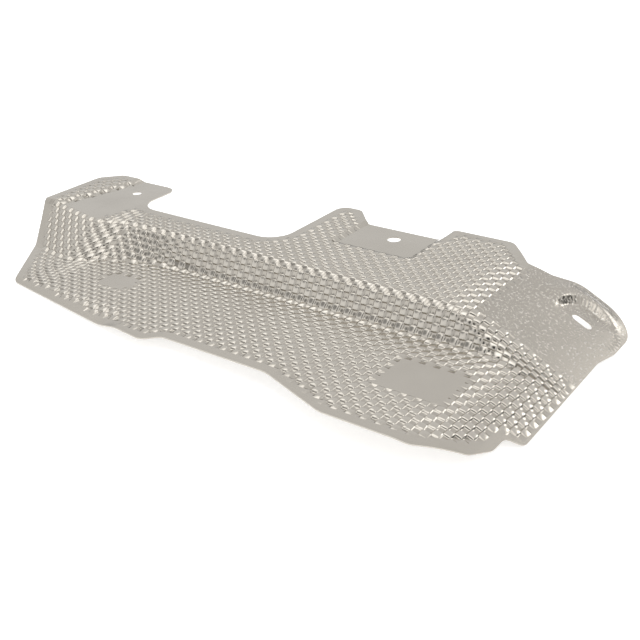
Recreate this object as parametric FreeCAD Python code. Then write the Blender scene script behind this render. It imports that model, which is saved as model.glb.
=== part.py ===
"""Heat shield: one sheet of embossed aluminium, pressed into a skirt, a web, a deck and a falling end flange.

Millimetres. X runs along the shield towards its end flange, Y to the rear, Z up.
The origin is the centre of the round hole in the middle tab, at half the sheet's thickness.
"""
import FreeCAD
import Part
import math
import os

# Sheet and emboss
sheet = 0.8
emboss_pitch = 6.6
emboss_rise = 0.8
plain_border = 5.0

# Pressed section: skirt, web and deck
deck_height = 17.0
web_angle = 58.0
web_ridge_y = -66.0
bend_radius = 7.0

# Flare of the web towards the left end, where its ridge has a nose under the left tab
flare_angle = 30.0
flare_start_x = -100.0
flare_length = 80.0
nose_x = -188.0
nose_depth = 8.0
nose_left_length = 55.0
nose_right_length = 26.0

# Bent lip along the front left edge
lip_y = -139.0
lip_angle = 12.0
lip_end_x = -84.0
lip_fade = 22.0

# End flange, which falls from the deck and the skirt
flange_angle = 28.0
flange_start_x = 88.0
flange_blend = 5.0

# Front edge of the outline, from left to right
front_left_x = -190.0
front_left_y = -144.0
front_step_x = -64.0
front_step_y = -159.5
front_mid_x = -55.5
front_mid_y = -151.0
swell_start_x = 18.0
swell_end_x = 63.0
front_right_y = -167.0
front_turn_x = 122.0
front_corner_y = -145.0

# End edge, with a tooth at its front
end_x = 146.5
tooth_y = -121.5
tooth_depth = 6.5
tooth_slant = 4.0

# Rear edge, from right to left
plateau_end_x = 86.0
plateau_end_y = 8.5
plateau_corner_x = 67.0
plateau_x = 26.0
plateau_y = 29.0
shoulder_x = -59.5
shoulder_y = 29.0
shoulder_width = 16.0
deck_edge_y = -41.5
deck_corner = 16.0
left_tab_x = -182.0
left_tab_y = -1.5
left_chamfer = 13.0
left_end_x = -249.0
left_end_front_y = -66.0

# Corner radii of the outline, and the largest share of a side that one corner's arc may take
corner = 4.0
round_corner = 8.0
sweep = 20.0
corner_room = 0.48

# Left tab, with an embossed rim along the left end
left_hole_x = -202.0
left_hole_y = -22.0
left_hole_d = 6.5
left_rim_width = 14.0
left_rim_rise = 2.0
tab_flat_slant = 0.3

# Middle tab, with its hole at the origin
mid_hole_d = 8.5
mid_tab_left_x = -29.0
mid_tab_edge_y = 13.5
mid_tab_depth = 36.0
tab_recess = 1.5

# Ear with a slot and a stamped seat, on the plain part of the end flange
panel_edge_y = -59.5
seat_x = 127.5
seat_y = -8.0
seat_radius = 17.0
seat_wall = 6.0
seat_rim = 6.0
seat_rise = 3.5
seat_facing = 100.0
seat_spread = 105.0
seat_fade = 40.0
seat_facets = 24
ear_bulge = 4.0
ear_front_y = -26.0
ear_corner = 24.0
ear_radius = 30.0
ear_root = 14.0
slot_length = 13.0
slot_width = 6.5

# Plain pads on the skirt
right_pad_x = 90.5
right_pad_y = -116.0
right_pad_length = 37.0
right_pad_width = 30.0
left_pad_x = -130.0
left_pad_y = -111.0
left_pad_length = 26.0
left_pad_width = 19.0

cell = emboss_pitch / math.sqrt(2)
cut_depth = 4 * deck_height
flange_slope = math.radians(flange_angle)
deck_z = tab_recess
seat_frame = FreeCAD.Placement(
    FreeCAD.Vector(seat_x, seat_y, deck_z - math.tan(flange_slope) * (seat_x - flange_start_x)),
    FreeCAD.Rotation(FreeCAD.Vector(0, 1, 0), flange_angle),
)


def rounded_outline(corners):
    """Wire through (x, y, radius) corners, with an arc of that radius at each."""
    edges = []
    ends = []
    count = len(corners)
    for k in range(count):
        x, y, radius = corners[k]
        here = FreeCAD.Vector(x, y, 0)
        before = FreeCAD.Vector(*corners[k - 1][:2], 0) - here
        after = FreeCAD.Vector(*corners[(k + 1) % count][:2], 0) - here
        turn = before.getAngle(after)
        room = corner_room * min(before.Length, after.Length)
        radius = min(radius, room * math.tan(turn / 2))
        reach = radius / math.tan(turn / 2)
        before.normalize()
        after.normalize()
        bisector = (before + after).normalize()
        middle = here + bisector * (radius / math.sin(turn / 2) - radius)
        ends.append((here + before * reach, middle, here + after * reach))
    for k in range(count):
        start, middle, end = ends[k]
        edges.append(Part.LineSegment(ends[k - 1][2], start).toShape())
        edges.append(Part.Arc(start, middle, end).toShape())
    return Part.Wire(edges)


def outline_corners():
    """Plan outline of the shield, from the front left corner, against the clock."""
    ear_y = seat_y + ear_radius
    tooth_x = end_x - tooth_depth
    return [
        (front_left_x, front_left_y, round_corner),
        (front_step_x, front_step_y, round_corner),
        (front_mid_x, front_mid_y, round_corner),
        (swell_start_x, front_mid_y, sweep),
        (swell_end_x, front_right_y, sweep),
        (front_turn_x, front_right_y, sweep),
        (tooth_x, front_corner_y, sweep),
        (tooth_x, tooth_y - tooth_slant, corner),
        (end_x, tooth_y, corner / 2),
        (end_x, ear_front_y, round_corner),
        (end_x + ear_bulge, ear_front_y + 2 * ear_bulge, round_corner),
        (end_x + ear_bulge, ear_y, ear_corner),
        (seat_x - ear_root, ear_y, ear_root),
        (plateau_end_x + ear_root, plateau_end_y + corner / 2, round_corner),
        (plateau_end_x, plateau_end_y, corner),
        (plateau_corner_x, plateau_y, round_corner),
        (plateau_x, plateau_y, corner),
        (plateau_x, mid_tab_edge_y, corner),
        (mid_tab_left_x, mid_tab_edge_y, round_corner),
        (shoulder_x + shoulder_width, shoulder_y, round_corner),
        (shoulder_x, shoulder_y, round_corner),
        (shoulder_x, deck_edge_y, deck_corner),
        (left_tab_x, deck_edge_y, round_corner),
        (left_tab_x, left_tab_y, corner),
        (left_end_x + left_chamfer, left_tab_y, round_corner),
        (left_end_x, left_tab_y - left_chamfer, round_corner),
        (left_end_x, left_end_front_y, round_corner),
    ]


def web_slope(x):
    """Slope of the web: steep along the shield, and easing towards the left end."""
    share = step((flare_start_x - x) / flare_length)
    return math.radians(web_angle + (flare_angle - web_angle) * share)


def ridge_y(x):
    """Where the web would meet the deck in a sharp edge: straight, with a nose under the left tab."""
    length = nose_left_length if x < nose_x else nose_right_length
    return web_ridge_y - nose_depth * step(1 - abs(x - nose_x) / length)


def section(x, s):
    """Plan place and height of the pressed section at x, at a length s along it from the ridge, rear positive."""
    slope = web_slope(x)
    tangent = bend_radius * math.tan(slope / 2)
    arc = bend_radius * slope
    straight = deck_height / math.sin(slope) - 2 * tangent
    y = ridge_y(x) + max(s, tangent)
    z = deck_z
    below = tangent - s
    upper = min(max(below, 0), arc) / bend_radius
    middle = min(max(below - arc, 0), straight)
    lower = min(max(below - arc - straight, 0), arc) / bend_radius
    level = max(below - 2 * arc - straight, 0)
    y -= bend_radius * (math.sin(upper) + math.sin(slope) - math.sin(slope - lower))
    z -= bend_radius * (1 - math.cos(upper) + math.cos(slope - lower) - math.cos(slope))
    y -= middle * math.cos(slope) + level
    z -= middle * math.sin(slope)
    return y + row_shift(x) * step(level / flare_length), z


def row_shift(x):
    """How far the skirt's rows move, so that they run straight past the flare and the nose."""

    def spare(ridge, slope):
        tangent = bend_radius * math.tan(slope / 2)
        length = 2 * bend_radius * slope + deck_height / math.sin(slope) - 2 * tangent
        run = deck_height / math.tan(slope) + 2 * tangent
        return ridge + length - run

    return spare(web_ridge_y, math.radians(web_angle)) - spare(ridge_y(x), web_slope(x))


def smooth_min(a, b, blend):
    near = max(blend - abs(a - b), 0) / blend
    return min(a, b) - near * near * blend / 4


def step(value):
    value = min(max(value, 0), 1)
    return value * value * (3 - 2 * value)


def in_mid_tab(x, y):
    return mid_tab_left_x < x < plateau_x and y > mid_tab_edge_y - mid_tab_depth


def in_left_tab(x, y):
    nose_y = web_ridge_y - nose_depth
    side_x = nose_x + tab_flat_slant * (y - nose_y)
    if y > deck_edge_y:
        side_x = left_tab_x
    return left_end_x + left_rim_width < x < side_x and y > ridge_y(x) + corner / 2


def in_right_pad(x, y):
    return abs(x - right_pad_x) < right_pad_length / 2 and abs(y - right_pad_y) < right_pad_width / 2


def in_left_pad(x, y):
    across = (x - left_pad_x) / (left_pad_length / 2)
    along = (y - left_pad_y) / (left_pad_width / 2)
    return across ** 4 + along ** 4 < 1


def in_panel(x, y):
    return x > flange_start_x and y > panel_edge_y


def is_plain(x, y):
    return any(test(x, y) for test in (in_mid_tab, in_left_tab, in_right_pad, in_left_pad, in_panel))


def form_height(x, y, section_z):
    """Height of the plain pressed form over a plan point."""
    flange_z = deck_z - math.tan(flange_slope) * (x - flange_start_x)
    height = smooth_min(section_z, flange_z, flange_blend)
    if in_mid_tab(x, y):
        height -= tab_recess
    if y > ridge_y(x):
        height += left_rim_rise * step((left_end_x + left_rim_width - x) / left_rim_width)
    if y < lip_y:
        height -= math.tan(math.radians(lip_angle)) * (lip_y - y) * step((lip_end_x - x) / lip_fade)
    return height


class Outline:
    """The plan outline, with tests of where a point lies against it."""

    def __init__(self, wire):
        self.points = [(p.x, p.y) for p in wire.discretize(Deflection=0.1)]

    def inside(self, x, y):
        crossings = 0
        for (ax, ay), (bx, by) in zip(self.points, self.points[1:] + self.points[:1]):
            if (ay > y) != (by > y) and x < ax + (y - ay) / (by - ay) * (bx - ax):
                crossings += 1
        return crossings % 2 == 1

    def distance(self, x, y):
        best = float("inf")
        for (ax, ay), (bx, by) in zip(self.points, self.points[1:] + self.points[:1]):
            dx, dy = bx - ax, by - ay
            share = ((x - ax) * dx + (y - ay) * dy) / (dx * dx + dy * dy or 1)
            share = min(max(share, 0), 1)
            best = min(best, math.hypot(x - ax - share * dx, y - ay - share * dy))
        return best


def columns():
    """X of each column of the emboss lattice: closer where the flange falls, so that the pitch stays even."""
    fall_x = (flange_start_x + end_x) / 2 - bend_radius
    places = [left_end_x - 2 * cell]
    while places[-1] < end_x + ear_bulge + 2 * cell:
        falling = places[-1] > fall_x
        places.append(places[-1] + cell * (math.cos(flange_slope) if falling else 1))
    return places


def rows():
    """Section length of each row of the emboss lattice, over the whole width."""
    front = web_ridge_y - min(front_step_y, front_right_y) + deck_height / math.sin(math.radians(web_angle))
    rear = max(shoulder_y, plateau_y, seat_y + ear_radius) - web_ridge_y + nose_depth
    return [k * cell for k in range(-int(front / cell) - 3, int(rear / cell) + 3)]


def embossed_slab(outline):
    """Closed faceted slab that covers the outline, with a peak or a pit at each lattice point."""
    xs = columns()
    lengths = rows()
    base = {}
    lift = {}
    gap = {}
    for i, x in enumerate(xs):
        for j, s in enumerate(lengths):
            y, section_z = section(x, s)
            base[i, j] = FreeCAD.Vector(x, y, form_height(x, y, section_z))
            inside = outline.inside(x, y)
            away = outline.distance(x, y)
            gap[i, j] = away if inside else -away
            embossed = inside and away > plain_border and not is_plain(x, y)
            lift[i, j] = (emboss_rise if (i + j) % 2 == 0 else -emboss_rise) if embossed else 0

    last_i, last_j = len(xs) - 1, len(lengths) - 1
    points = []
    index = {}
    for (i, j), place in base.items():
        along = base[min(i + 1, last_i), j] - base[max(i - 1, 0), j]
        across = base[i, min(j + 1, last_j)] - base[i, max(j - 1, 0)]
        normal = along.cross(across).normalize()
        for side in (1, -1):
            index[i, j, side] = len(points)
            points.append(place + normal * (lift[i, j] + side * sheet / 2))

    corners_of = {}
    for i in range(last_i):
        for j in range(last_j):
            ring = [(i, j), (i + 1, j), (i + 1, j + 1), (i, j + 1)]
            if max(gap[c] for c in ring) > -cell:
                corners_of[i, j] = ring

    facets = []
    border = {}
    for (i, j), (a, b, c, d) in corners_of.items():
        halves = ((a, b, c), (a, c, d)) if (i + j) % 2 == 0 else ((a, b, d), (b, c, d))
        for half in halves:
            facets.append(tuple(index[n + (1,)] for n in half))
            facets.append(tuple(index[n + (-1,)] for n in reversed(half)))
        for edge in ((a, b), (b, c), (c, d), (d, a)):
            if edge[::-1] in border:
                del border[edge[::-1]]
            else:
                border[edge] = True
    for start, end in border:
        low_start, low_end = index[start + (-1,)], index[end + (-1,)]
        high_start, high_end = index[start + (1,)], index[end + (1,)]
        facets.append((low_start, low_end, high_end))
        facets.append((low_start, high_end, high_start))
    return faceted_solid(points, facets)


def faceted_solid(points, facets):
    skin = Part.Shape()
    skin.makeShapeFromMesh((points, facets), 0.001, False)
    return Part.makeSolid(Part.Shell(skin.Faces)).removeSplitter()


def seat_radii():
    """Radii of the seat's facet rings: the flat seat, its wall, the rim and the fall back to the panel."""
    wall_top = seat_radius + seat_wall
    rim_edge = wall_top + seat_rim
    return [seat_radius, seat_radius + seat_wall / 3, wall_top - seat_wall / 3, wall_top,
            rim_edge, rim_edge + seat_wall / 3, rim_edge + 2 * seat_wall / 3, rim_edge + seat_wall]


def seat_lift(radius, angle):
    """How far the rim stands over the panel: a crescent around the seat's far and outer sides."""
    rim_edge = seat_radius + seat_wall + seat_rim
    up = step((radius - seat_radius) / seat_wall)
    down = step((radius - rim_edge) / seat_wall)
    turn = math.degrees(abs(math.remainder(angle - math.radians(seat_facing), 2 * math.pi)))
    crescent = step((seat_spread - turn) / seat_fade)
    return seat_rise * crescent * (up - down)


def seat_solid():
    """Faceted disc of the flange with the stamped seat in it."""
    angles = [2 * math.pi * k / seat_facets for k in range(seat_facets)]
    rings = seat_radii()
    points = []
    for side in (1, -1):
        points.append(seat_frame.multVec(FreeCAD.Vector(0, 0, side * sheet / 2)))
        for radius in rings:
            for angle in angles:
                height = seat_lift(radius, angle) + side * sheet / 2
                flat = (radius * math.cos(angle), radius * math.sin(angle))
                points.append(seat_frame.multVec(FreeCAD.Vector(*flat, height)))
    side_count = 1 + len(rings) * seat_facets
    facets = []
    for k in range(seat_facets):
        after = (k + 1) % seat_facets
        quads = [(0, 1 + k, 1 + after)]
        for ring in range(len(rings) - 1):
            inner, outer = 1 + ring * seat_facets, 1 + (ring + 1) * seat_facets
            quads.append((inner + k, outer + k, outer + after))
            quads.append((inner + k, outer + after, inner + after))
        facets += quads
        facets += [tuple(side_count + n for n in reversed(quad)) for quad in quads]
        edge, edge_after = side_count - seat_facets + k, side_count - seat_facets + after
        facets.append((edge, edge + side_count, edge_after + side_count))
        facets.append((edge, edge_after + side_count, edge_after))
    return faceted_solid(points, facets)


def seat_cutter():
    """Prism that takes the seat's disc out of the slab."""
    reach = seat_radii()[-1]
    corners = []
    for k in range(seat_facets + 1):
        angle = 2 * math.pi * k / seat_facets
        corners.append(FreeCAD.Vector(reach * math.cos(angle), reach * math.sin(angle), -deck_height / 2))
    prism = Part.Face(Part.makePolygon(corners)).extrude(FreeCAD.Vector(0, 0, deck_height))
    prism.Placement = seat_frame
    return prism


def slot_cutter():
    run, half = slot_length - slot_width, slot_width / 2
    wire = rounded_outline([
        (-run / 2 - half, -half, half),
        (run / 2 + half, -half, half),
        (run / 2 + half, half, half),
        (-run / 2 - half, half, half),
    ])
    prism = Part.Face(wire).extrude(FreeCAD.Vector(0, 0, deck_height))
    prism.translate(FreeCAD.Vector(0, 0, -deck_height / 2))
    prism.Placement = seat_frame.multiply(prism.Placement)
    return prism


def trimmed(solid, wire):
    prism = Part.Face(wire).extrude(FreeCAD.Vector(0, 0, 2 * cut_depth))
    prism.translate(FreeCAD.Vector(0, 0, -cut_depth))
    return solid.common(prism)


def hole(x, y, diameter):
    return Part.makeCylinder(diameter / 2, cut_depth, FreeCAD.Vector(x, y, -cut_depth / 2))


def shield():
    wire = rounded_outline(outline_corners())
    slab = embossed_slab(Outline(wire)).cut(seat_cutter())
    body = trimmed(slab, wire).fuse(trimmed(seat_solid(), wire))
    holes = [hole(0, 0, mid_hole_d), hole(left_hole_x, left_hole_y, left_hole_d), slot_cutter()]
    return body.removeSplitter().cut(holes)


os.makedirs("parts", exist_ok=True)
panel = shield()
print(len(panel.Solids), "solids", len(panel.Faces), "faces", panel.isValid(), panel.BoundBox)
panel.Solids[0].exportStep("parts/shield_panel.step")
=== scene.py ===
"""Pressed and embossed aluminium heat shield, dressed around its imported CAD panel.

The sheet starts as a flat blank. Its outline, holes and slot are cut in the blank, and the blank is then
pressed: skirt, web, deck, falling end flange, plain tabs, stamped seat and emboss, all as real shape.
X runs along the shield towards its end flange, Y to the rear, Z up. The origin is the middle tab's hole.
"""
import math

import bpy
import numpy as np
from bpy.props import FloatProperty, FloatVectorProperty, PointerProperty
from mathutils import Matrix, Vector
from mathutils.kdtree import KDTree


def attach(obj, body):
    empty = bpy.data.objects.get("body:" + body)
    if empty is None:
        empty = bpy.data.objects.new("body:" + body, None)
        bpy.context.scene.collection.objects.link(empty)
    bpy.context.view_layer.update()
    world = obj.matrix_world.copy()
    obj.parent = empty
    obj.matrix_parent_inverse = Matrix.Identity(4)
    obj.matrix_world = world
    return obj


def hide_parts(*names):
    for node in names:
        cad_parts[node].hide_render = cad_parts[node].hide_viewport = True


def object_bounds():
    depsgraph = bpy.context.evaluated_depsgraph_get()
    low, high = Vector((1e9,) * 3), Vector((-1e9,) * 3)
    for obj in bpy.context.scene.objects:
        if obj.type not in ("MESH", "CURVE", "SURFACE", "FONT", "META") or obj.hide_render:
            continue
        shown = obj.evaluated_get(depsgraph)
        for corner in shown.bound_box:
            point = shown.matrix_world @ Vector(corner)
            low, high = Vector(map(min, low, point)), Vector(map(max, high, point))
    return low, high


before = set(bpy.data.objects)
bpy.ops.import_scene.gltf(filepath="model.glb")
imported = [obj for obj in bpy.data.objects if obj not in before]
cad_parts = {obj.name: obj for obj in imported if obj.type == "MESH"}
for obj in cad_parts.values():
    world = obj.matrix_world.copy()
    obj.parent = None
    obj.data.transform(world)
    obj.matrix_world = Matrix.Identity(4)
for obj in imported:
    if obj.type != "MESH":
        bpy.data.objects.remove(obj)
cad_low, cad_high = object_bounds()

bl_info = {
    "name": "Embossed heat shield",
    "version": (1, 0, 0),
    "blender": (4, 5, 0),
    "location": "View3D > Sidebar > Heat shield",
    "description": "Presses an embossed aluminium heat shield out of a flat blank and sets its stage",
    "category": "Object",
}

MM = 0.001

# Plan outline from the front left corner, against the clock: x, y and corner radius in millimetres
OUTLINE = (
    (-190, -144, 8), (-64, -159.5, 8), (-55.5, -151, 8), (18, -151, 20), (63, -167, 20), (113, -167, 10),
    (134.5, -151, 8), (140.3, -138, 10), (140.3, -125.7, 4), (148.3, -121.2, 5), (146.8, -30, 10),
    (149.6, -14, 12), (149.6, 9.6, 21), (137.3, 21.9, 21), (113.5, 21.9, 14), (100, 10.5, 8), (86, 8.5, 4),
    (67, 29, 8), (26, 29, 4), (26, 13.5, 4), (-29, 13.5, 8), (-43.5, 29, 8), (-59.5, 29, 8),
    (-59.5, -41.5, 16), (-182, -40.8, 16), (-182, -1.5, 9), (-236, -1.5, 8), (-249, -14.5, 8),
    (-249, -66, 8),
)

# Cutting of the blank: the share of a side that a corner's rounding may take, the spacing of points along the
# outline and the slot, the points round a hole, the cutting wall's height, the area that may be missing and
# the gap under which points are merged
CORNER_ROOM = 0.48
EDGE_STEP = 1.1
SLOT_STEP = 0.6
HOLE_POINTS = 40
WALL_HEIGHT = 4.0
AREA_SLACK = 0.5
MERGE_GAP = 0.16

# Search for a plan point's place on the blank: how far it reaches from the ridge, and its halvings
BLANK_REACH = 250.0
BLANK_HALVINGS = 48

# Ridge of the web, its flare and its nose under the left tab
RIDGE_Y = -66.0
FLARE_ANGLE = 30.0
FLARE_START_X = -100.0
FLARE_LENGTH = 80.0
NOSE_X = -188.0
NOSE_DEPTH = 8.0
NOSE_LEFT_LENGTH = 55.0
NOSE_RIGHT_LENGTH = 26.0

# Lip along the front left edge and rim along the left end
LIP_Y = -139.0
LIP_END_X = -84.0
LIP_FADE = 22.0
LEFT_END_X = -249.0
LEFT_RIM_WIDTH = 14.0
LEFT_RIM_FRONT_Y = -72.0
LEFT_RIM_SLANT = 0.3
LEFT_RIM_FALL = 7.0
LEFT_RIM_RISE = 1.8
LEFT_RIM_FRONT_FADE = 4.0

# End flange
FLANGE_START_X = 88.0
FLANGE_BLEND = 9.0
FALL_X = 118.0

# Plain tabs, panel, pads and borders. The middle tab has its left, right and front edge, a pad its centre,
# length and width
TAB_RECESS = 1.5
MID_TAB = (-29.0, 26.0, -22.5)
LEFT_TAB_X = -182.0
LEFT_TAB_SLANT = 0.3
LEFT_TAB_FRONT = 2.0
DECK_EDGE_Y = -41.5
PANEL_EDGE_Y = -59.5
RIGHT_PAD = (89.5, -116.0, 41.0, 33.0)
LEFT_PAD = (-130.0, -111.0, 26.0, 19.0)
PLAIN_FADE = 1.6
END_BORDER_X = 124.0
END_BORDER_X_FADE = 10.0
END_BORDER_Y = -124.0
END_BORDER_Y_FADE = 6.0

# Flat areas whose faces are joined: their distance from an edge, their least plain share and the angle in
# degrees up to which faces count as level
FLAT_MARGIN = 2.5
FLAT_SHARE = 0.999
FLAT_ANGLE = 0.2

# Angle in degrees over which an edge stays sharp
SHARP_ANGLE = 50.0

# Holes, slot and stamped seat. Angles round the seat are in degrees from the end flange's edge, against the
# clock, and SEAT_EDGE is the ear's corner: its two sides and its radius
LEFT_HOLE = (-202.0, -22.0)
SEAT = (127.5, -8.0)
SEAT_FOOT = -2.0
SEAT_FOOT_RIGHT = 2.5
SEAT_FOOT_TURN = 75.0
SEAT_FOOT_FADE = 70.0
SEAT_WALL = 4.8
SEAT_WALL_START = 2.6
SEAT_WALL_TURN = 165.0
SEAT_WALL_FADE = 60.0
SEAT_WALL_CURVE = 0.3
SEAT_EDGE = (149.6, 21.9, 21.0)
SEAT_OUTER = 9.0
SEAT_SINK = 0.4
SEAT_START = 205.0
SEAT_START_FADE = 50.0
SINK_START = 192.0
SINK_START_FADE = 18.0
SEAT_END = 25.0
SEAT_END_FADE = 60.0
SEAT_REACH = 21.0
SEAT_FALL = 14.0
SEAT_FINE_MARGIN = 1.0
SEAT_FINE_CUTS = 3

# Drawn wrinkles in the seat's wall: their number and rise, how their spacing and rise wander, and their ends
WRINKLES = 46
WRINKLE_RISE = 0.28
WRINKLE_WANDER = 1.3
WRINKLE_WANDER_TURNS = 3
WRINKLE_SWELL = 0.25
WRINKLE_SWELL_TURNS = 5
WRINKLE_EDGE = 3.0
WRINKLE_END = -25.0
WRINKLE_END_FADE = 35.0

# Directions of the room's bright ceiling, window and front and of its dark parts, with the cosines at which
# each begins and is full, and the heights between which the low part of the room fades
CEILING = ((0.15, -0.25, 0.95), 0.80, 0.90)
WINDOW = ((0.47, 0.80, 0.36), 0.962, 0.985)
FRONT = ((-0.58, -0.70, 0.42), 0.85, 0.95)
DARK_CORNER = ((-0.52, -0.42, 0.74), 0.952, 0.982)
DARK_SIDE = ((0.15, -0.57, 0.81), 0.94, 0.97)
DARK_END = ((0.79, 0.56, 0.24), 0.955, 0.98)
HORIZON_FADE = (0.05, 0.3)

# Floor under the left end and the flange's lowest corner, in metres, with its slope
FLOOR_SIZE = 8.0
FLOOR_PLACE = (0.1505, 0, -0.0322)
FLOOR_SLOPE = 0.0430
FLOOR_ROUGHNESS = 0.8

# Softboxes: place and side in metres, all aimed at one point
LIGHT_TARGET = (0, -0.07, 0)
KEY_BOX = ((-0.55, 0.25, 0.85), 0.45)
RIM_BOX = ((0.55, 0.8, 0.38), 0.3)
TOP_BOX = ((0.0, -0.15, 1.2), 0.5)

# Camera: lens and sensor in millimetres, nearest distance, place in metres and turn
LENS = 56.25
SENSOR = 36.0
NEAREST = 0.01
EYE = (0.3099, -0.4862, 0.2359)
EYE_TURN = (
    (0.80721, -0.23521, 0.54139),
    (0.58882, 0.38504, -0.71067),
    (-0.04130, 0.89244, 0.4493),
)

# Emboss: half the width of a blunt top as a share of a cell, and the lines of the mesh in each cell, at the
# foot, the middle and the head of a flank
EMBOSS_TOP = 0.35
EMBOSS_LINES = (EMBOSS_TOP, 0.5, 1 - EMBOSS_TOP)

# Scales of the metal's grain, dust, clouds and flecks, per metre
GRAIN_SCALE = 900.0
EDGE_GRAIN_SCALE = 2200.0
GRAIN_DRAW = (0.12, 1.0, 1.0)
DUST_SCALE = 2600.0
CLOUD_SCALE = 28.0
FLECK_SCALE = 650.0

# Shares of the colours over the plain metal, bump heights, and what the panel adds to the roughness
# The pits' share is painted shade: the pits are darkened in colour where shade falls in them
PIT_SHADE_SHARE = 0.4
PEAK_SHARE = 0.35
CLOUD_SHARE = 0.3
PANEL_SHARE = 0.5
FLECK_SHARE = 0.65
DUST_HEIGHT = 0.5
GRAIN_HEIGHT = 0.35
FLECK_HEIGHT = 7.0
PANEL_ROUGHNESS = 0.04
EDGE_ROUGHNESS = 0.42


class ShieldForm(bpy.types.PropertyGroup):
    """Sizes of the pressed sheet."""

    sheet: FloatProperty(
        name="Sheet", description="Thickness of the sheet", default=0.8 * MM, unit="LENGTH", precision=4)
    pitch: FloatProperty(
        name="Emboss pitch", description="Distance between neighbouring peaks of the emboss, on the slant",
        default=6.0 * MM, unit="LENGTH", precision=4)
    rise: FloatProperty(
        name="Emboss rise", description="Height of a peak and depth of a pit against the plain form",
        default=0.65 * MM, unit="LENGTH", precision=4)
    border: FloatProperty(
        name="Plain border", description="Width of the coined border along the edge",
        default=7.0 * MM, unit="LENGTH", precision=4)
    end_border: FloatProperty(
        name="End border", description="Width of the coined border along the end flange's edge",
        default=4.2 * MM, unit="LENGTH", precision=4)
    deck_height: FloatProperty(
        name="Deck height", description="Height of the deck over the skirt", default=17.0 * MM, unit="LENGTH")
    bend_radius: FloatProperty(
        name="Bend radius", description="Radius of the bends of the web", default=7.0 * MM, unit="LENGTH")
    web_angle: FloatProperty(
        name="Web angle", description="Slope of the web", default=math.radians(58), subtype="ANGLE")
    flange_angle: FloatProperty(
        name="Flange angle", description="Slope of the end flange", default=math.radians(28), subtype="ANGLE")
    lip_angle: FloatProperty(
        name="Lip angle", description="Slope of the lip along the front left edge",
        default=math.radians(12), subtype="ANGLE")
    seat_radius: FloatProperty(
        name="Seat radius", description="Radius of the flat seat around the slot",
        default=17.0 * MM, unit="LENGTH")
    seat_rise: FloatProperty(
        name="Seat rise", description="Height of the rim around the seat", default=3.0 * MM, unit="LENGTH")
    mid_hole: FloatProperty(
        name="Middle hole", description="Diameter of the hole in the middle tab",
        default=8.5 * MM, unit="LENGTH")
    left_hole: FloatProperty(
        name="Left hole", description="Diameter of the hole in the left tab",
        default=6.5 * MM, unit="LENGTH")
    slot_length: FloatProperty(
        name="Slot length", description="Length of the slot in the ear, end to end",
        default=13.0 * MM, unit="LENGTH")
    slot_width: FloatProperty(
        name="Slot width", description="Width of the slot in the ear", default=6.5 * MM, unit="LENGTH")


class ShieldFinish(bpy.types.PropertyGroup):
    """Colours and gloss of the sheet."""

    metal: FloatVectorProperty(
        name="Metal", description="Colour of the rolled aluminium", subtype="COLOR", size=3,
        min=0, max=1, default=(0.49, 0.46, 0.41))
    worn: FloatVectorProperty(
        name="Worn metal", description="Colour of the metal where the die rubbed it bright",
        subtype="COLOR", size=3, min=0, max=1, default=(0.58, 0.55, 0.50))
    # Painted shade and tone: this colour darkens the pits as painted shade, and also gives the random clouds
    # and the plain panel their darker tone
    shade_and_grime: FloatVectorProperty(
        name="Grime", description="Colour of the dull film in the pits", subtype="COLOR", size=3,
        min=0, max=1, default=(0.41, 0.38, 0.335))
    fleck: FloatVectorProperty(
        name="Flecks", description="Colour of the bright flecks on the plain panel of the ear",
        subtype="COLOR", size=3, min=0, max=1, default=(0.70, 0.67, 0.62))
    roughness: FloatProperty(
        name="Roughness", description="Roughness of the rolled surface", default=0.18, min=0, max=1,
        subtype="FACTOR")


class ShieldStage(bpy.types.PropertyGroup):
    """Floor and light."""

    floor: FloatVectorProperty(
        name="Floor", description="Colour of the floor", subtype="COLOR", size=3, min=0, max=1,
        default=(0.9, 0.9, 0.9))
    glow: FloatProperty(
        name="Floor glow", description="White that the floor adds where it is seen, over its own colour",
        default=0.6)
    key: FloatProperty(name="Key light", description="Power of the softbox behind on the left", default=0.75)
    rim: FloatProperty(name="Rim light", description="Power of the softbox behind on the right", default=0.16)
    top: FloatProperty(name="Top light", description="Power of the softbox overhead", default=0.3)
    room: FloatProperty(name="Room", description="Brightness of the white room", default=0.93)
    ceiling: FloatProperty(name="Ceiling", description="Brightness of the room overhead", default=1.8)
    window: FloatProperty(
        name="Window", description="Brightness of the window behind on the right", default=3.2)
    front: FloatProperty(name="Front", description="Brightness of the room's front wall", default=1.2)
    horizon: FloatProperty(name="Horizon", description="Brightness of the room low down", default=0.35)
    corner: FloatProperty(
        name="Dark corner", description="Brightness of the room's dark corner", default=0.38)
    side: FloatProperty(
        name="Dark side", description="Brightness of the room's dark side and end", default=0.05)


def step(value):
    """Smooth step from 0 to 1."""
    value = np.clip(value, 0, 1)
    return value * value * (3 - 2 * value)


def smooth_min(a, b, blend):
    """The lower of two values, rounded off where they are closer than the blend."""
    near = np.maximum(blend - np.abs(a - b), 0) / blend
    return np.minimum(a, b) - near * near * blend / 4


def soft_edge(distance):
    """Share of a plain area at a distance inside its edge."""
    return step(distance / PLAIN_FADE + 0.5)


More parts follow.
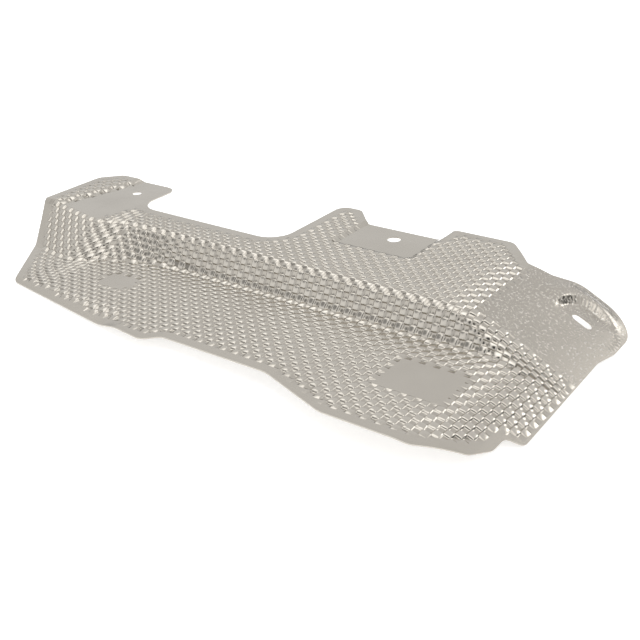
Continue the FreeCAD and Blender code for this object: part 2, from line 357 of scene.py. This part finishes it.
class Press:
    """The shield's plain form, in millimetres, from places on the flat blank.

    On the blank, u runs along the shield's length and s along its section from the ridge, rear positive.
    """

    def __init__(self, form):
        self.deck_height = form.deck_height / MM
        self.bend = form.bend_radius / MM
        self.web_angle = math.degrees(form.web_angle)
        self.flange = form.flange_angle
        self.lip = math.tan(form.lip_angle)
        self.seat_radius = form.seat_radius / MM
        self.seat_rise = form.seat_rise / MM
        self.deck_z = TAB_RECESS

    def length_of(self, x):
        """Place along the blank of a plan x."""
        return np.where(x < FALL_X, x, FALL_X + (x - FALL_X) / math.cos(self.flange))

    def plan_of(self, u):
        """Plan x of a place along the blank."""
        return np.where(u < FALL_X, u, FALL_X + (u - FALL_X) * math.cos(self.flange))

    def slope(self, x):
        """Slope of the web, which flares out to the left."""
        share = step((FLARE_START_X - x) / FLARE_LENGTH)
        return np.radians(self.web_angle + (FLARE_ANGLE - self.web_angle) * share)

    def ridge(self, x):
        """Plan y of the web's upper edge, with the nose under the left tab."""
        length = np.where(x < NOSE_X, NOSE_LEFT_LENGTH, NOSE_RIGHT_LENGTH)
        return RIDGE_Y - NOSE_DEPTH * step(1 - np.abs(x - NOSE_X) / length)

    def spare(self, ridge, slope):
        """The ridge plus the length that the section over the web has beyond its plan."""
        tangent = self.bend * np.tan(slope / 2)
        length = 2 * self.bend * slope + self.deck_height / np.sin(slope) - 2 * tangent
        return ridge + length - self.deck_height / np.tan(slope) - 2 * tangent

    def section(self, x, s):
        """Plan y and height at a plan x, at a length s along the section."""
        slope = self.slope(x)
        ridge = self.ridge(x)
        tangent = self.bend * np.tan(slope / 2)
        arc = self.bend * slope
        straight = self.deck_height / np.sin(slope) - 2 * tangent
        below = tangent - s
        upper = np.clip(below, 0, arc) / self.bend
        middle = np.clip(below - arc, 0, straight)
        lower = np.clip(below - arc - straight, 0, arc) / self.bend
        level = np.maximum(below - 2 * arc - straight, 0)
        y = ridge + np.maximum(s, tangent)
        y = y - self.bend * (np.sin(upper) + np.sin(slope) - np.sin(slope - lower))
        y = y - middle * np.cos(slope) - level
        z = self.deck_z - self.bend * (1 - np.cos(upper) + np.cos(slope - lower) - np.cos(slope))
        z = z - middle * np.sin(slope)
        shift = self.spare(RIDGE_Y, math.radians(self.web_angle)) - self.spare(ridge, slope)
        return y + shift * step(level / FLARE_LENGTH), z

    def blank_of(self, x, y):
        """Place on the blank of a plan point."""
        low = np.full_like(x, -BLANK_REACH)
        high = np.full_like(x, BLANK_REACH)
        for _ in range(BLANK_HALVINGS):
            middle = (low + high) / 2
            short = self.section(x, middle)[0] < y
            low = np.where(short, middle, low)
            high = np.where(short, high, middle)
        return self.length_of(x), (low + high) / 2

    def mid_tab(self, x, y):
        """Share of the middle tab at a plan point."""
        left, right, front = MID_TAB
        return soft_edge(x - left) * soft_edge(right - x) * soft_edge(y - front)

    def rim_end(self, y):
        """Plan x where the rim along the left end meets the left tab."""
        return LEFT_END_X + LEFT_RIM_WIDTH + LEFT_RIM_SLANT * np.maximum(y - LEFT_RIM_FRONT_Y, 0)

    def left_tab(self, x, y):
        """Share of the left tab at a plan point."""
        side = np.where(y > DECK_EDGE_Y, LEFT_TAB_X, NOSE_X + LEFT_TAB_SLANT * (y - RIDGE_Y + NOSE_DEPTH))
        front = soft_edge(y - self.ridge(x) - LEFT_TAB_FRONT)
        return soft_edge(x - self.rim_end(y)) * soft_edge(side - x) * front

    def panel(self, x, y):
        """Share of the ear's plain panel at a plan point."""
        return soft_edge(x - FLANGE_START_X) * soft_edge(y - PANEL_EDGE_Y)

    def pads(self, x, y):
        """Share of the two coined pads at a plan point: one square, one with round corners."""
        cx, cy, length, width = RIGHT_PAD
        right = soft_edge(length / 2 - np.abs(x - cx)) * soft_edge(width / 2 - np.abs(y - cy))
        cx, cy, length, width = LEFT_PAD
        round_off = (np.abs(x - cx) / (length / 2)) ** 4 + (np.abs(y - cy) / (width / 2)) ** 4
        left = soft_edge((1 - round_off ** 0.25) * width / 2)
        return np.maximum(right, left)

    def seat_lift(self, x, y):
        """Height of the rim around the seat, with its drawn wrinkles, and of the seat's sink before it."""
        across = (x - SEAT[0]) / math.cos(self.flange)
        along = y - SEAT[1]
        radius = np.hypot(across, along)
        angle = np.degrees(np.arctan2(along, across))
        angle = np.where(angle < -90, angle + 360, angle)
        end = step((angle - SEAT_END) / SEAT_END_FADE)
        rim_share = step((SEAT_START - angle) / SEAT_START_FADE) * end
        sink_share = step((SINK_START - angle) / SINK_START_FADE) * end
        right_share = step((SEAT_FOOT_TURN - angle) / SEAT_FOOT_FADE)
        wall_share = step((SEAT_WALL_TURN - angle) / SEAT_WALL_FADE)
        foot = self.seat_radius + SEAT_FOOT + (SEAT_FOOT_RIGHT - SEAT_FOOT) * right_share
        wide = SEAT_WALL_START + (SEAT_WALL - SEAT_WALL_START) * wall_share
        up = np.clip((radius - foot) / wide, 0, 1)
        up = up + SEAT_WALL_CURVE * (step(up) - up)
        turn_x = (x - SEAT_EDGE[0]) / math.cos(self.flange) + SEAT_EDGE[2]
        turn_y = y - SEAT_EDGE[1] + SEAT_EDGE[2]
        outside = np.hypot(np.maximum(turn_x, 0), np.maximum(turn_y, 0))
        edge = SEAT_EDGE[2] - outside - np.minimum(np.maximum(turn_x, turn_y), 0)
        rim = up * step(edge / SEAT_OUTER) * (1 - step((radius - SEAT_REACH) / SEAT_FALL))
        sink = (1 - up) * step(radius / foot)
        wall = up * (1 - up) * 4
        turns = np.radians(angle)
        wander = WRINKLE_WANDER * np.sin(WRINKLE_WANDER_TURNS * turns)
        swell = 1 - WRINKLE_SWELL + WRINKLE_SWELL * np.sin(WRINKLE_SWELL_TURNS * turns + 1)
        wrinkle = np.sin(WRINKLES * turns + wander) * wall * WRINKLE_RISE
        wrinkle = wrinkle * swell * step(edge / WRINKLE_EDGE)
        wrinkle = wrinkle * step((SINK_START - angle) / SINK_START_FADE)
        wrinkle = wrinkle * step((angle - WRINKLE_END) / WRINKLE_END_FADE)
        form = (1 - SEAT_SINK) * rim * rim_share - SEAT_SINK * sink * sink_share
        return self.seat_rise * form + wrinkle

    def place(self, u, s):
        """Plain form over a place on the blank: x, y and z."""
        x = self.plan_of(u)
        y, z = self.section(x, s)
        flange_z = self.deck_z - math.tan(self.flange) * (x - FLANGE_START_X)
        z = smooth_min(z, flange_z, FLANGE_BLEND)
        z = z - TAB_RECESS * self.mid_tab(x, y)
        rim = step((self.rim_end(y) - x) / LEFT_RIM_FALL)
        z = z + LEFT_RIM_RISE * rim * step((y - self.ridge(x)) / LEFT_RIM_FRONT_FADE + 0.5)
        z = z - self.lip * np.maximum(LIP_Y - y, 0) * step((LIP_END_X - x) / LIP_FADE)
        z = z + self.seat_lift(x, y) / math.cos(self.flange) * self.panel(x, y)
        return np.stack([x, y, z], 1)

    def normal(self, u, s):
        """Upward normal of the plain form over a place on the blank."""
        near = 0.05
        along = self.place(u + near, s) - self.place(u - near, s)
        across = self.place(u, s + near) - self.place(u, s - near)
        normal = np.cross(along, across)
        return normal / np.linalg.norm(normal, axis=1)[:, None]


def rounded_loop(corners, spacing):
    """Points round a closed outline of (x, y, radius) corners, about the spacing apart."""
    corners = [(np.array(corner[:2], float), corner[2]) for corner in corners]
    ends = []
    for k, (here, radius) in enumerate(corners):
        before = corners[k - 1][0] - here
        after = corners[(k + 1) % len(corners)][0] - here
        room = CORNER_ROOM * min(np.linalg.norm(before), np.linalg.norm(after))
        before = before / np.linalg.norm(before)
        after = after / np.linalg.norm(after)
        half = math.acos(np.clip(before @ after, -1, 1)) / 2
        radius = min(radius, room * math.tan(half))
        bisector = (before + after) / np.linalg.norm(before + after)
        centre = here + bisector * radius / math.sin(half)
        start = here + before * radius / math.tan(half)
        end = here + after * radius / math.tan(half)
        ends.append((start, end, centre, radius))
    points = []
    for k, (start, end, centre, radius) in enumerate(ends):
        last = ends[k - 1][1]
        count = max(int(np.linalg.norm(start - last) / spacing), 1)
        points += [last + (start - last) * n / count for n in range(1, count + 1)]
        first = math.atan2(*(start - centre)[::-1])
        sweep = math.remainder(math.atan2(*(end - centre)[::-1]) - first, 2 * math.pi)
        count = max(int(abs(sweep) * radius / spacing), 3)
        for n in range(1, count + 1):
            angle = first + sweep * n / count
            points.append(centre + radius * np.array([math.cos(angle), math.sin(angle)]))
    return np.array(points)


def ring(centre, diameter):
    """Points round a hole."""
    angles = np.arange(HOLE_POINTS) * 2 * math.pi / HOLE_POINTS
    x = centre[0] + diameter / 2 * np.cos(angles)
    y = centre[1] + diameter / 2 * np.sin(angles)
    return np.stack([x, y], 1)


def inside(loop, points):
    """Which points lie inside a closed loop."""
    crossings = np.zeros(len(points), bool)
    for (ax, ay), (bx, by) in zip(loop, np.roll(loop, -1, 0)):
        spans = (ay > points[:, 1]) != (by > points[:, 1])
        at = ax + (points[:, 1] - ay) / ((by - ay) or 1) * (bx - ax)
        crossings ^= spans & (points[:, 0] < at)
    return crossings


def emboss_wave(across, along):
    """Emboss over a place in cells: blunt pyramids that point up and down in turn."""
    turn = np.where((np.round(across) + np.round(along)) % 2 == 0, 1.0, -1.0)
    across = np.abs(across - np.round(across))
    along = np.abs(along - np.round(along))
    far = np.maximum(across, along)
    return turn * np.clip((0.5 - far) / (0.5 - EMBOSS_TOP), 0, 1)


def loop_area(loop):
    """Area inside a closed loop."""
    x, y = loop[:, 0], loop[:, 1]
    return abs(x @ np.roll(y, -1) - y @ np.roll(x, -1)) / 2


def blank_loops(form, press):
    """The outline, the two holes and the slot, as closed loops on the blank."""
    end = form.slot_length / MM * math.cos(form.flange_angle) / 2
    half = form.slot_width / MM / 2
    corners = [(-end, -half, half), (end, -half, half), (end, half, half), (-end, half, half)]
    slot = rounded_loop(corners, SLOT_STEP)
    plans = [
        rounded_loop(OUTLINE, EDGE_STEP),
        ring((0, 0), form.mid_hole / MM),
        ring(LEFT_HOLE, form.left_hole / MM),
        slot + np.array(SEAT),
    ]
    return [np.stack(press.blank_of(plan[:, 0], plan[:, 1]), 1) for plan in plans]


def coordinates(mesh):
    """Places of the mesh's points."""
    flat = np.zeros(len(mesh.vertices) * 3)
    mesh.vertices.foreach_get("co", flat)
    return flat.reshape(-1, 3)


def face_centres(mesh):
    """Centres of the mesh's faces."""
    flat = np.zeros(len(mesh.polygons) * 3)
    mesh.polygons.foreach_get("center", flat)
    return flat.reshape(-1, 3)


def upright_faces(mesh):
    """Which faces stand upright, as the cutting walls do."""
    return np.abs(np.array([face.normal.z for face in mesh.polygons])) < 0.5


def select_faces(mesh, chosen):
    """Selects these faces, and nothing else, from object mode."""
    mesh.vertices.foreach_set("select", np.zeros(len(mesh.vertices), bool))
    mesh.edges.foreach_set("select", np.zeros(len(mesh.edges), bool))
    mesh.polygons.foreach_set("select", np.asarray(chosen, bool))


def edit(action, **settings):
    """Runs one edit-mode operator on the selected faces."""
    bpy.ops.object.mode_set(mode="EDIT")
    bpy.ops.mesh.select_mode(type="FACE")
    action(**settings)
    bpy.ops.object.mode_set(mode="OBJECT")


def add_grid(loops, cell):
    """Flat grid over the outline, its lines along the feet, the middles and the heads of the flanks."""
    lines = len(EMBOSS_LINES)
    gap = cell / lines
    low = np.floor(loops[0].min(0) / gap) - 3
    high = np.ceil(loops[0].max(0) / gap) + 1
    count = (high - low).astype(int)
    bpy.ops.object.select_all(action="DESELECT")
    bpy.ops.mesh.primitive_grid_add(x_subdivisions=int(count[0]), y_subdivisions=int(count[1]), size=1)
    blank = bpy.context.object
    size = count * gap * MM
    middle = (low + high) / 2 * gap * MM
    blank.scale = (size[0], size[1], 1)
    blank.location = (middle[0], middle[1], 0)
    bpy.ops.object.transform_apply(location=True, rotation=False, scale=True)
    places = coordinates(blank.data)
    line = np.round(places[:, :2] / MM / gap).astype(int)
    places[:, :2] = (line // lines + np.array(EMBOSS_LINES)[line % lines]) * cell * MM
    blank.data.vertices.foreach_set("co", places.ravel())
    return blank


def add_wall(loop):
    """Upright wall along a loop, which cuts the blank."""
    height = WALL_HEIGHT * MM
    bpy.ops.object.select_all(action="DESELECT")
    bpy.ops.mesh.primitive_circle_add(vertices=len(loop), radius=1, fill_type="NOTHING")
    wall = bpy.context.object
    places = np.column_stack([loop * MM, np.full(len(loop), -height / 2)])
    wall.data.vertices.foreach_set("co", places.ravel())
    bpy.ops.object.mode_set(mode="EDIT")
    bpy.ops.mesh.select_all(action="SELECT")
    bpy.ops.mesh.extrude_region_move(TRANSFORM_OT_translate={"value": (0, 0, height)})
    bpy.ops.object.mode_set(mode="OBJECT")
    return wall


def cut_blank(blank, loops):
    """Cuts the outline, the holes and the slot in the blank."""
    walls = [add_wall(loop) for loop in loops]
    bpy.ops.object.select_all(action="DESELECT")
    for wall in walls:
        wall.select_set(True)
    blank.select_set(True)
    bpy.context.view_layer.objects.active = blank
    bpy.ops.object.join()
    mesh = blank.data
    select_faces(mesh, upright_faces(mesh))
    edit(bpy.ops.mesh.intersect, mode="SELECT_UNSELECT", separate_mode="NONE", solver="EXACT")
    select_faces(mesh, upright_faces(mesh))
    edit(bpy.ops.mesh.delete, type="FACE")
    select_faces(mesh, np.ones(len(mesh.polygons)))
    edit(bpy.ops.mesh.vert_connect_concave)
    centres = face_centres(mesh)[:, :2] / MM
    waste = ~inside(loops[0], centres)
    for loop in loops[1:]:
        waste |= inside(loop, centres)
    select_faces(mesh, waste)
    edit(bpy.ops.mesh.delete, type="FACE")
    area = sum(face.area for face in mesh.polygons) / MM ** 2
    openings = sum(loop_area(loop) for loop in loops[1:])
    if abs(area - loop_area(loops[0]) + openings) > AREA_SLACK:
        raise RuntimeError("the blank was not cut along its outline")
    bpy.ops.object.mode_set(mode="EDIT")
    bpy.ops.mesh.select_all(action="SELECT")
    bpy.ops.mesh.delete_loose(use_verts=True, use_edges=True, use_faces=False)
    bpy.ops.mesh.select_all(action="SELECT")
    bpy.ops.mesh.remove_doubles(threshold=MERGE_GAP * MM)
    bpy.ops.object.mode_set(mode="OBJECT")


def refine_seat(blank, press):
    """Finer faces under the wall of the stamped seat, for its wrinkles."""
    u, s = press.blank_of(np.array([SEAT[0]]), np.array([SEAT[1]]))
    centres = face_centres(blank.data)[:, :2] / MM - np.array([u[0], s[0]])
    radius = np.hypot(centres[:, 0], centres[:, 1])
    angle = np.degrees(np.arctan2(centres[:, 1], centres[:, 0]))
    angle = np.where(angle < -90, angle + 360, angle)
    near = (angle > WRINKLE_END) & (angle < SEAT_START)
    near &= radius > press.seat_radius + SEAT_FOOT - SEAT_FINE_MARGIN
    near &= radius < press.seat_radius + SEAT_FOOT_RIGHT + SEAT_WALL + SEAT_FINE_MARGIN
    select_faces(blank.data, near)
    edit(bpy.ops.mesh.subdivide, number_cuts=SEAT_FINE_CUTS)


def border_distance(loops, places):
    """Distance of places on the blank from the nearest cut edge of the outline."""
    shares = (0, 0.25, 0.5, 0.75)
    tree = KDTree(len(loops[0]) * len(shares))
    count = 0
    for start, end in zip(loops[0], np.roll(loops[0], -1, 0)):
        for share in shares:
            point = start + (end - start) * share
            tree.insert((point[0], point[1], 0), count)
            count += 1
    tree.balance()
    return np.array([tree.find((u, s, 0))[2] for u, s in places])


def press_blank(blank, form, press, loops):
    """Presses the blank into the shield, and keeps masks of the emboss and the panel on its points."""
    mesh = blank.data
    places = coordinates(mesh)[:, :2] / MM
    u, s = places[:, 0], places[:, 1]
    plain_form = press.place(u, s)
    normal = press.normal(u, s)
    x, y = plain_form[:, 0], plain_form[:, 1]
    cell = form.pitch / MM / math.sqrt(2)
    border = border_distance(loops, places)
    panel = press.panel(x, y)
    tabs = np.maximum(press.mid_tab(x, y), press.left_tab(x, y))
    plain = np.maximum(np.maximum(panel, tabs), press.pads(x, y))
    end = step((x - END_BORDER_X) / END_BORDER_X_FADE)
    end = end * step((y - END_BORDER_Y) / END_BORDER_Y_FADE + 0.5)
    width = (form.border + (form.end_border - form.border) * end) / MM
    mask = (1 - plain) * soft_edge(border - width)
    wave = emboss_wave(u / cell, s / cell)
    lift = form.rise / MM * wave * mask
    points = (plain_form + normal * lift[:, None]) * MM
    mesh.vertices.foreach_set("co", points.ravel())
    for name, values in (("emboss", wave * mask), ("panel", panel)):
        layer = mesh.attributes.new(name, "FLOAT", "POINT")
        layer.data.foreach_set("value", values.astype(np.float32))
    mesh.update()


def join_flats(blank, press):
    """Joins the faces inside the plain flat areas, which need no fine mesh."""
    centres = face_centres(blank.data) / MM
    flat = np.ones(len(centres), bool)
    for shift in ((1, 1), (1, -1), (-1, 1), (-1, -1)):
        x = centres[:, 0] + shift[0] * FLAT_MARGIN
        y = centres[:, 1] + shift[1] * FLAT_MARGIN
        seat = np.hypot((x - SEAT[0]) / math.cos(press.flange), y - SEAT[1])
        clear = (x > FLANGE_START_X + FLANGE_BLEND) & (seat > SEAT_REACH + SEAT_FALL)
        share = press.mid_tab(x, y) + press.left_tab(x, y) + press.pads(x, y) + press.panel(x, y) * clear
        flat &= share > FLAT_SHARE
    select_faces(blank.data, flat)
    edit(bpy.ops.mesh.dissolve_limited, angle_limit=math.radians(FLAT_ANGLE), delimit={"NORMAL"})


def trim_to_box(piece):
    """Trims the sheet's edges upright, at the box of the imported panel."""
    points = np.clip(coordinates(piece.data), np.array(cad_low), np.array(cad_high))
    piece.data.vertices.foreach_set("co", points.ravel())
    piece.data.update()


def apply_modifier(piece, kind, **settings):
    """Adds one modifier to the piece and applies it."""
    modifier = piece.modifiers.new(kind.title(), kind)
    for name, value in settings.items():
        setattr(modifier, name, value)
    bpy.ops.object.select_all(action="DESELECT")
    piece.select_set(True)
    bpy.context.view_layer.objects.active = piece
    bpy.ops.object.modifier_apply(modifier=modifier.name)


class NodeTree:
    """Places and links the nodes of one tree."""

    def __init__(self, tree):
        self.tree = tree

    def feed(self, socket, value):
        """Links another node's output to an input, or sets a plain value on it."""
        if isinstance(value, bpy.types.NodeSocket):
            self.tree.links.new(value, socket)
        else:
            socket.default_value = value

    def add(self, kind, settings=None, **inputs):
        """Adds a node, with its settings and with its inputs by name."""
        node = self.tree.nodes.new(kind)
        for name, value in (settings or {}).items():
            setattr(node, name, value)
        for name, value in inputs.items():
            self.feed(node.inputs[name], value)
        return node

    def attribute(self, name):
        """A mask that is kept on the points."""
        return self.add("ShaderNodeAttribute", {"attribute_name": name}).outputs["Fac"]

    def math(self, operation, a, b=0.0, clamp=False):
        """One sum or product of two values."""
        node = self.add("ShaderNodeMath", {"operation": operation, "use_clamp": clamp})
        self.feed(node.inputs[0], a)
        self.feed(node.inputs[1], b)
        return node.outputs[0]

    def times(self, mask, amount):
        """A mask times an amount."""
        return self.math("MULTIPLY", mask, amount)

    def mix(self, share, a, b):
        """Colour a, with a share of colour b over it."""
        node = self.add("ShaderNodeMix", {"data_type": "RGBA"})
        for socket, value in ((node.inputs[0], share), (node.inputs[6], a), (node.inputs[7], b)):
            self.feed(socket, value)
        return node.outputs[2]

    def dot(self, vector, direction):
        """Cosine between a vector and a fixed direction."""
        node = self.add("ShaderNodeVectorMath", {"operation": "DOT_PRODUCT"})
        self.feed(node.inputs[0], vector)
        self.feed(node.inputs[1], Vector(direction).normalized())
        return node.outputs["Value"]

    def noise(self, vector, scale, detail, roughness=0.5):
        """Smooth noise from 0 to 1."""
        return self.add("ShaderNodeTexNoise", None, Vector=vector, Scale=scale, Detail=detail,
                        Roughness=roughness).outputs["Fac"]

    def range(self, value, low, high, start=0.0, end=1.0):
        """A value between low and high, brought to run from start to end."""
        node = self.add("ShaderNodeMapRange", None, Value=value)
        for name, setting in (("From Min", low), ("From Max", high), ("To Min", start), ("To Max", end)):
            node.inputs[name].default_value = setting
        return node.outputs["Result"]


def rgba(colour):
    """Opaque colour for a socket."""
    return (colour[0], colour[1], colour[2], 1.0)


def grey(level):
    """Opaque grey for a socket."""
    return (level, level, level, 1.0)


def rolled_grain():
    """Group for rolled aluminium: a fine grain drawn along X, and slow clouds of tone."""
    group = bpy.data.node_groups.new("rolled_grain", "ShaderNodeTree")
    scale_input = group.interface.new_socket("Grain Scale", in_out="INPUT", socket_type="NodeSocketFloat")
    scale_input.default_value = GRAIN_SCALE
    group.interface.new_socket("Height", in_out="OUTPUT", socket_type="NodeSocketFloat")
    group.interface.new_socket("Clouds", in_out="OUTPUT", socket_type="NodeSocketFloat")
    nodes = NodeTree(group)
    scale = group.nodes.new("NodeGroupInput").outputs["Grain Scale"]
    place = nodes.add("ShaderNodeTexCoord").outputs["Object"]
    drawn = nodes.add("ShaderNodeMapping", None, Vector=place, Scale=GRAIN_DRAW).outputs["Vector"]
    lines = nodes.noise(drawn, scale, 2.0)
    dust = nodes.noise(place, DUST_SCALE, 2.0)
    clouds = nodes.noise(place, CLOUD_SCALE, 4.0, 0.6)
    out = group.nodes.new("NodeGroupOutput")
    group.links.new(nodes.math("ADD", lines, nodes.times(dust, DUST_HEIGHT)), out.inputs["Height"])
    group.links.new(clouds, out.inputs["Clouds"])
    return group


def embossed_metal(finish, grain):
    """Satin aluminium: bright on the peaks, with painted shade in the pits, speckled on the plain panel of
    the ear.
    """
    material = bpy.data.materials.new("embossed_aluminium")
    material.use_nodes = True
    nodes = NodeTree(material.node_tree)
    shader = material.node_tree.nodes["Principled BSDF"]
    place = nodes.add("ShaderNodeTexCoord").outputs["Object"]
    rolled = nodes.add("ShaderNodeGroup", {"node_tree": grain})
    rolled.inputs["Grain Scale"].default_value = GRAIN_SCALE
    clouds = rolled.outputs["Clouds"]
    emboss = nodes.attribute("emboss")
    panel = nodes.attribute("panel")
    pits = nodes.range(emboss, 0.1, -1.0)
    peaks = nodes.range(emboss, 0.35, 1.0)
    flecks = nodes.range(nodes.noise(place, FLECK_SCALE, 2.0, 0.7), 0.57, 0.64)
    flecks = nodes.times(flecks, panel)
    shade_and_grime = rgba(finish.shade_and_grime)
    # Painted shade: the colour darkens into the pits of the emboss, where shade falls
    colour = nodes.mix(nodes.times(pits, PIT_SHADE_SHARE), rgba(finish.metal), shade_and_grime)
    colour = nodes.mix(nodes.times(peaks, PEAK_SHARE), colour, rgba(finish.worn))
    colour = nodes.mix(nodes.times(nodes.range(clouds, 0.4, 0.7), CLOUD_SHARE), colour, shade_and_grime)
    colour = nodes.mix(nodes.times(panel, PANEL_SHARE), colour, shade_and_grime)
    colour = nodes.mix(nodes.times(flecks, FLECK_SHARE), colour, rgba(finish.fleck))
    rough = nodes.math("ADD", finish.roughness, nodes.range(clouds, 0.3, 0.7, -0.04, 0.05))
    rough = nodes.math("ADD", rough, nodes.times(panel, PANEL_ROUGHNESS))
    height = nodes.times(rolled.outputs["Height"], GRAIN_HEIGHT)
    height = nodes.math("ADD", height, nodes.times(flecks, FLECK_HEIGHT))
    bump = nodes.add("ShaderNodeBump", None, Strength=0.35, Distance=0.00012, Height=height)
    shader.inputs["Metallic"].default_value = 1.0
    links = material.node_tree.links
    links.new(colour, shader.inputs["Base Color"])
    links.new(rough, shader.inputs["Roughness"])
    links.new(bump.outputs["Normal"], shader.inputs["Normal"])
    return material


def sheared_metal(finish, grain):
    """Bright sheared edge of the sheet."""
    material = bpy.data.materials.new("sheared_edge")
    material.use_nodes = True
    nodes = NodeTree(material.node_tree)
    shader = material.node_tree.nodes["Principled BSDF"]
    rolled = nodes.add("ShaderNodeGroup", {"node_tree": grain})
    rolled.inputs["Grain Scale"].default_value = EDGE_GRAIN_SCALE
    colour = nodes.mix(rolled.outputs["Clouds"], rgba(finish.worn), rgba(finish.metal))
    bump = nodes.add("ShaderNodeBump", None, Strength=0.5, Distance=0.0001, Height=rolled.outputs["Height"])
    shader.inputs["Metallic"].default_value = 1.0
    shader.inputs["Roughness"].default_value = EDGE_ROUGHNESS
    material.node_tree.links.new(colour, shader.inputs["Base Color"])
    material.node_tree.links.new(bump.outputs["Normal"], shader.inputs["Normal"])
    return material


class SHIELD_OT_sheet(bpy.types.Operator):
    """Cuts the flat blank, presses it and gives it its thickness and finish"""

    bl_idname = "shield.sheet"
    bl_label = "Press sheet"

    def execute(self, context):
        form = context.scene.shield_form
        finish = context.scene.shield_finish
        press = Press(form)
        loops = blank_loops(form, press)
        blank = add_grid(loops, form.pitch / MM / math.sqrt(2))
        cut_blank(blank, loops)
        refine_seat(blank, press)
        press_blank(blank, form, press, loops)
        join_flats(blank, press)
        grain = rolled_grain()
        blank.name = "embossed_sheet"
        blank.data.materials.append(embossed_metal(finish, grain))
        blank.data.materials.append(sheared_metal(finish, grain))
        apply_modifier(blank, "SOLIDIFY", thickness=form.sheet, offset=0.0, use_rim=True,
                       material_offset_rim=1)
        trim_to_box(blank)
        bpy.ops.object.shade_smooth_by_angle(angle=math.radians(SHARP_ANGLE))
        apply_modifier(blank, "WEIGHTED_NORMAL", keep_sharp=True)
        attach(blank, "root")
        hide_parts("shield_panel")
        return {"FINISHED"}


def add_light(name, power, box):
    """Softbox at its place, aimed at the shield."""
    place, side = box
    light = bpy.data.lights.new(name, "AREA")
    light.shape = "RECTANGLE"
    light.size = side
    light.size_y = side
    light.energy = power
    lamp = bpy.data.objects.new(name, light)
    bpy.context.scene.collection.objects.link(lamp)
    lamp.location = place
    lamp.rotation_euler = (Vector(LIGHT_TARGET) - Vector(place)).to_track_quat("-Z", "Y").to_euler()


def add_floor(stage):
    """Pale floor, which shows whiter than its own colour but keeps the shield's shadow."""
    bpy.ops.object.select_all(action="DESELECT")
    bpy.ops.mesh.primitive_plane_add(size=FLOOR_SIZE)
    floor = bpy.context.object
    floor.name = "floor"
    floor.rotation_euler = (0, math.atan(FLOOR_SLOPE), 0)
    floor.location = FLOOR_PLACE
    paint = bpy.data.materials.new("pale_floor")
    paint.use_nodes = True
    nodes = NodeTree(paint.node_tree)
    shader = paint.node_tree.nodes["Principled BSDF"]
    shader.inputs["Base Color"].default_value = rgba(stage.floor)
    shader.inputs["Roughness"].default_value = FLOOR_ROUGHNESS
    shader.inputs["Emission Color"].default_value = grey(1.0)
    path = nodes.add("ShaderNodeLightPath")
    seen = nodes.math("ADD", path.outputs["Is Camera Ray"], path.outputs["Is Glossy Ray"], clamp=True)
    seen = nodes.math("ADD", seen, path.outputs["Is Transmission Ray"], clamp=True)
    paint.node_tree.links.new(nodes.times(seen, stage.glow), shader.inputs["Emission Strength"])
    floor.data.materials.append(paint)


def add_camera(scene):
    """Camera at the photograph's viewing angle."""
    camera = bpy.data.cameras.new("camera")
    camera.lens = LENS
    camera.sensor_width = SENSOR
    camera.clip_start = NEAREST
    eye = bpy.data.objects.new("camera", camera)
    scene.collection.objects.link(eye)
    eye.matrix_world = Matrix.Translation(EYE) @ Matrix(EYE_TURN).to_4x4()
    scene.camera = eye


def set_world(stage):
    """White room, dimmer low down, with bright and dark parts that the metal mirrors."""
    world = bpy.data.worlds.new("studio")
    bpy.context.scene.world = world
    world.use_nodes = True
    nodes = NodeTree(world.node_tree)
    background = world.node_tree.nodes["Background"]
    direction = nodes.add("ShaderNodeTexCoord").outputs["Generated"]
    height = nodes.add("ShaderNodeSeparateXYZ", None, Vector=direction).outputs["Z"]
    level = nodes.mix(nodes.range(height, *HORIZON_FADE), grey(stage.horizon), grey(stage.room))
    for (patch, begin, full), bright in (
            (CEILING, stage.ceiling), (WINDOW, stage.window), (FRONT, stage.front),
            (DARK_CORNER, stage.corner), (DARK_SIDE, stage.side), (DARK_END, stage.side)):
        near = nodes.dot(direction, patch)
        level = nodes.mix(nodes.range(near, begin, full), level, grey(bright))
    seen = nodes.add("ShaderNodeLightPath").outputs["Is Camera Ray"]
    world.node_tree.links.new(nodes.mix(seen, level, grey(1.0)), background.inputs["Color"])


class SHIELD_OT_stage(bpy.types.Operator):
    """Lays the floor, and sets the light and the camera"""

    bl_idname = "shield.stage"
    bl_label = "Set stage"

    def execute(self, context):
        stage = context.scene.shield_stage
        add_floor(stage)
        set_world(stage)
        add_light("key", stage.key, KEY_BOX)
        add_light("rim", stage.rim, RIM_BOX)
        add_light("top", stage.top, TOP_BOX)
        add_camera(context.scene)
        context.scene.view_settings.view_transform = "Standard"
        return {"FINISHED"}


class SHIELD_PT_panel(bpy.types.Panel):
    """Sizes, colours and steps of the heat shield"""

    bl_label = "Heat shield"
    bl_space_type = "VIEW_3D"
    bl_region_type = "UI"
    bl_category = "Heat shield"

    def draw(self, context):
        for group in (context.scene.shield_form, context.scene.shield_finish, context.scene.shield_stage):
            box = self.layout.box()
            for name in group.__annotations__:
                box.prop(group, name)
        self.layout.operator(SHIELD_OT_sheet.bl_idname)
        self.layout.operator(SHIELD_OT_stage.bl_idname)


CLASSES = (ShieldForm, ShieldFinish, ShieldStage, SHIELD_OT_sheet, SHIELD_OT_stage, SHIELD_PT_panel)


def register():
    for item in CLASSES:
        bpy.utils.register_class(item)
    bpy.types.Scene.shield_form = PointerProperty(type=ShieldForm)
    bpy.types.Scene.shield_finish = PointerProperty(type=ShieldFinish)
    bpy.types.Scene.shield_stage = PointerProperty(type=ShieldStage)


def unregister():
    del bpy.types.Scene.shield_form
    del bpy.types.Scene.shield_finish
    del bpy.types.Scene.shield_stage
    for item in reversed(CLASSES):
        bpy.utils.unregister_class(item)


def main():
    register()
    bpy.ops.shield.stage()
    bpy.ops.shield.sheet()


if __name__ == "__main__":
    main()
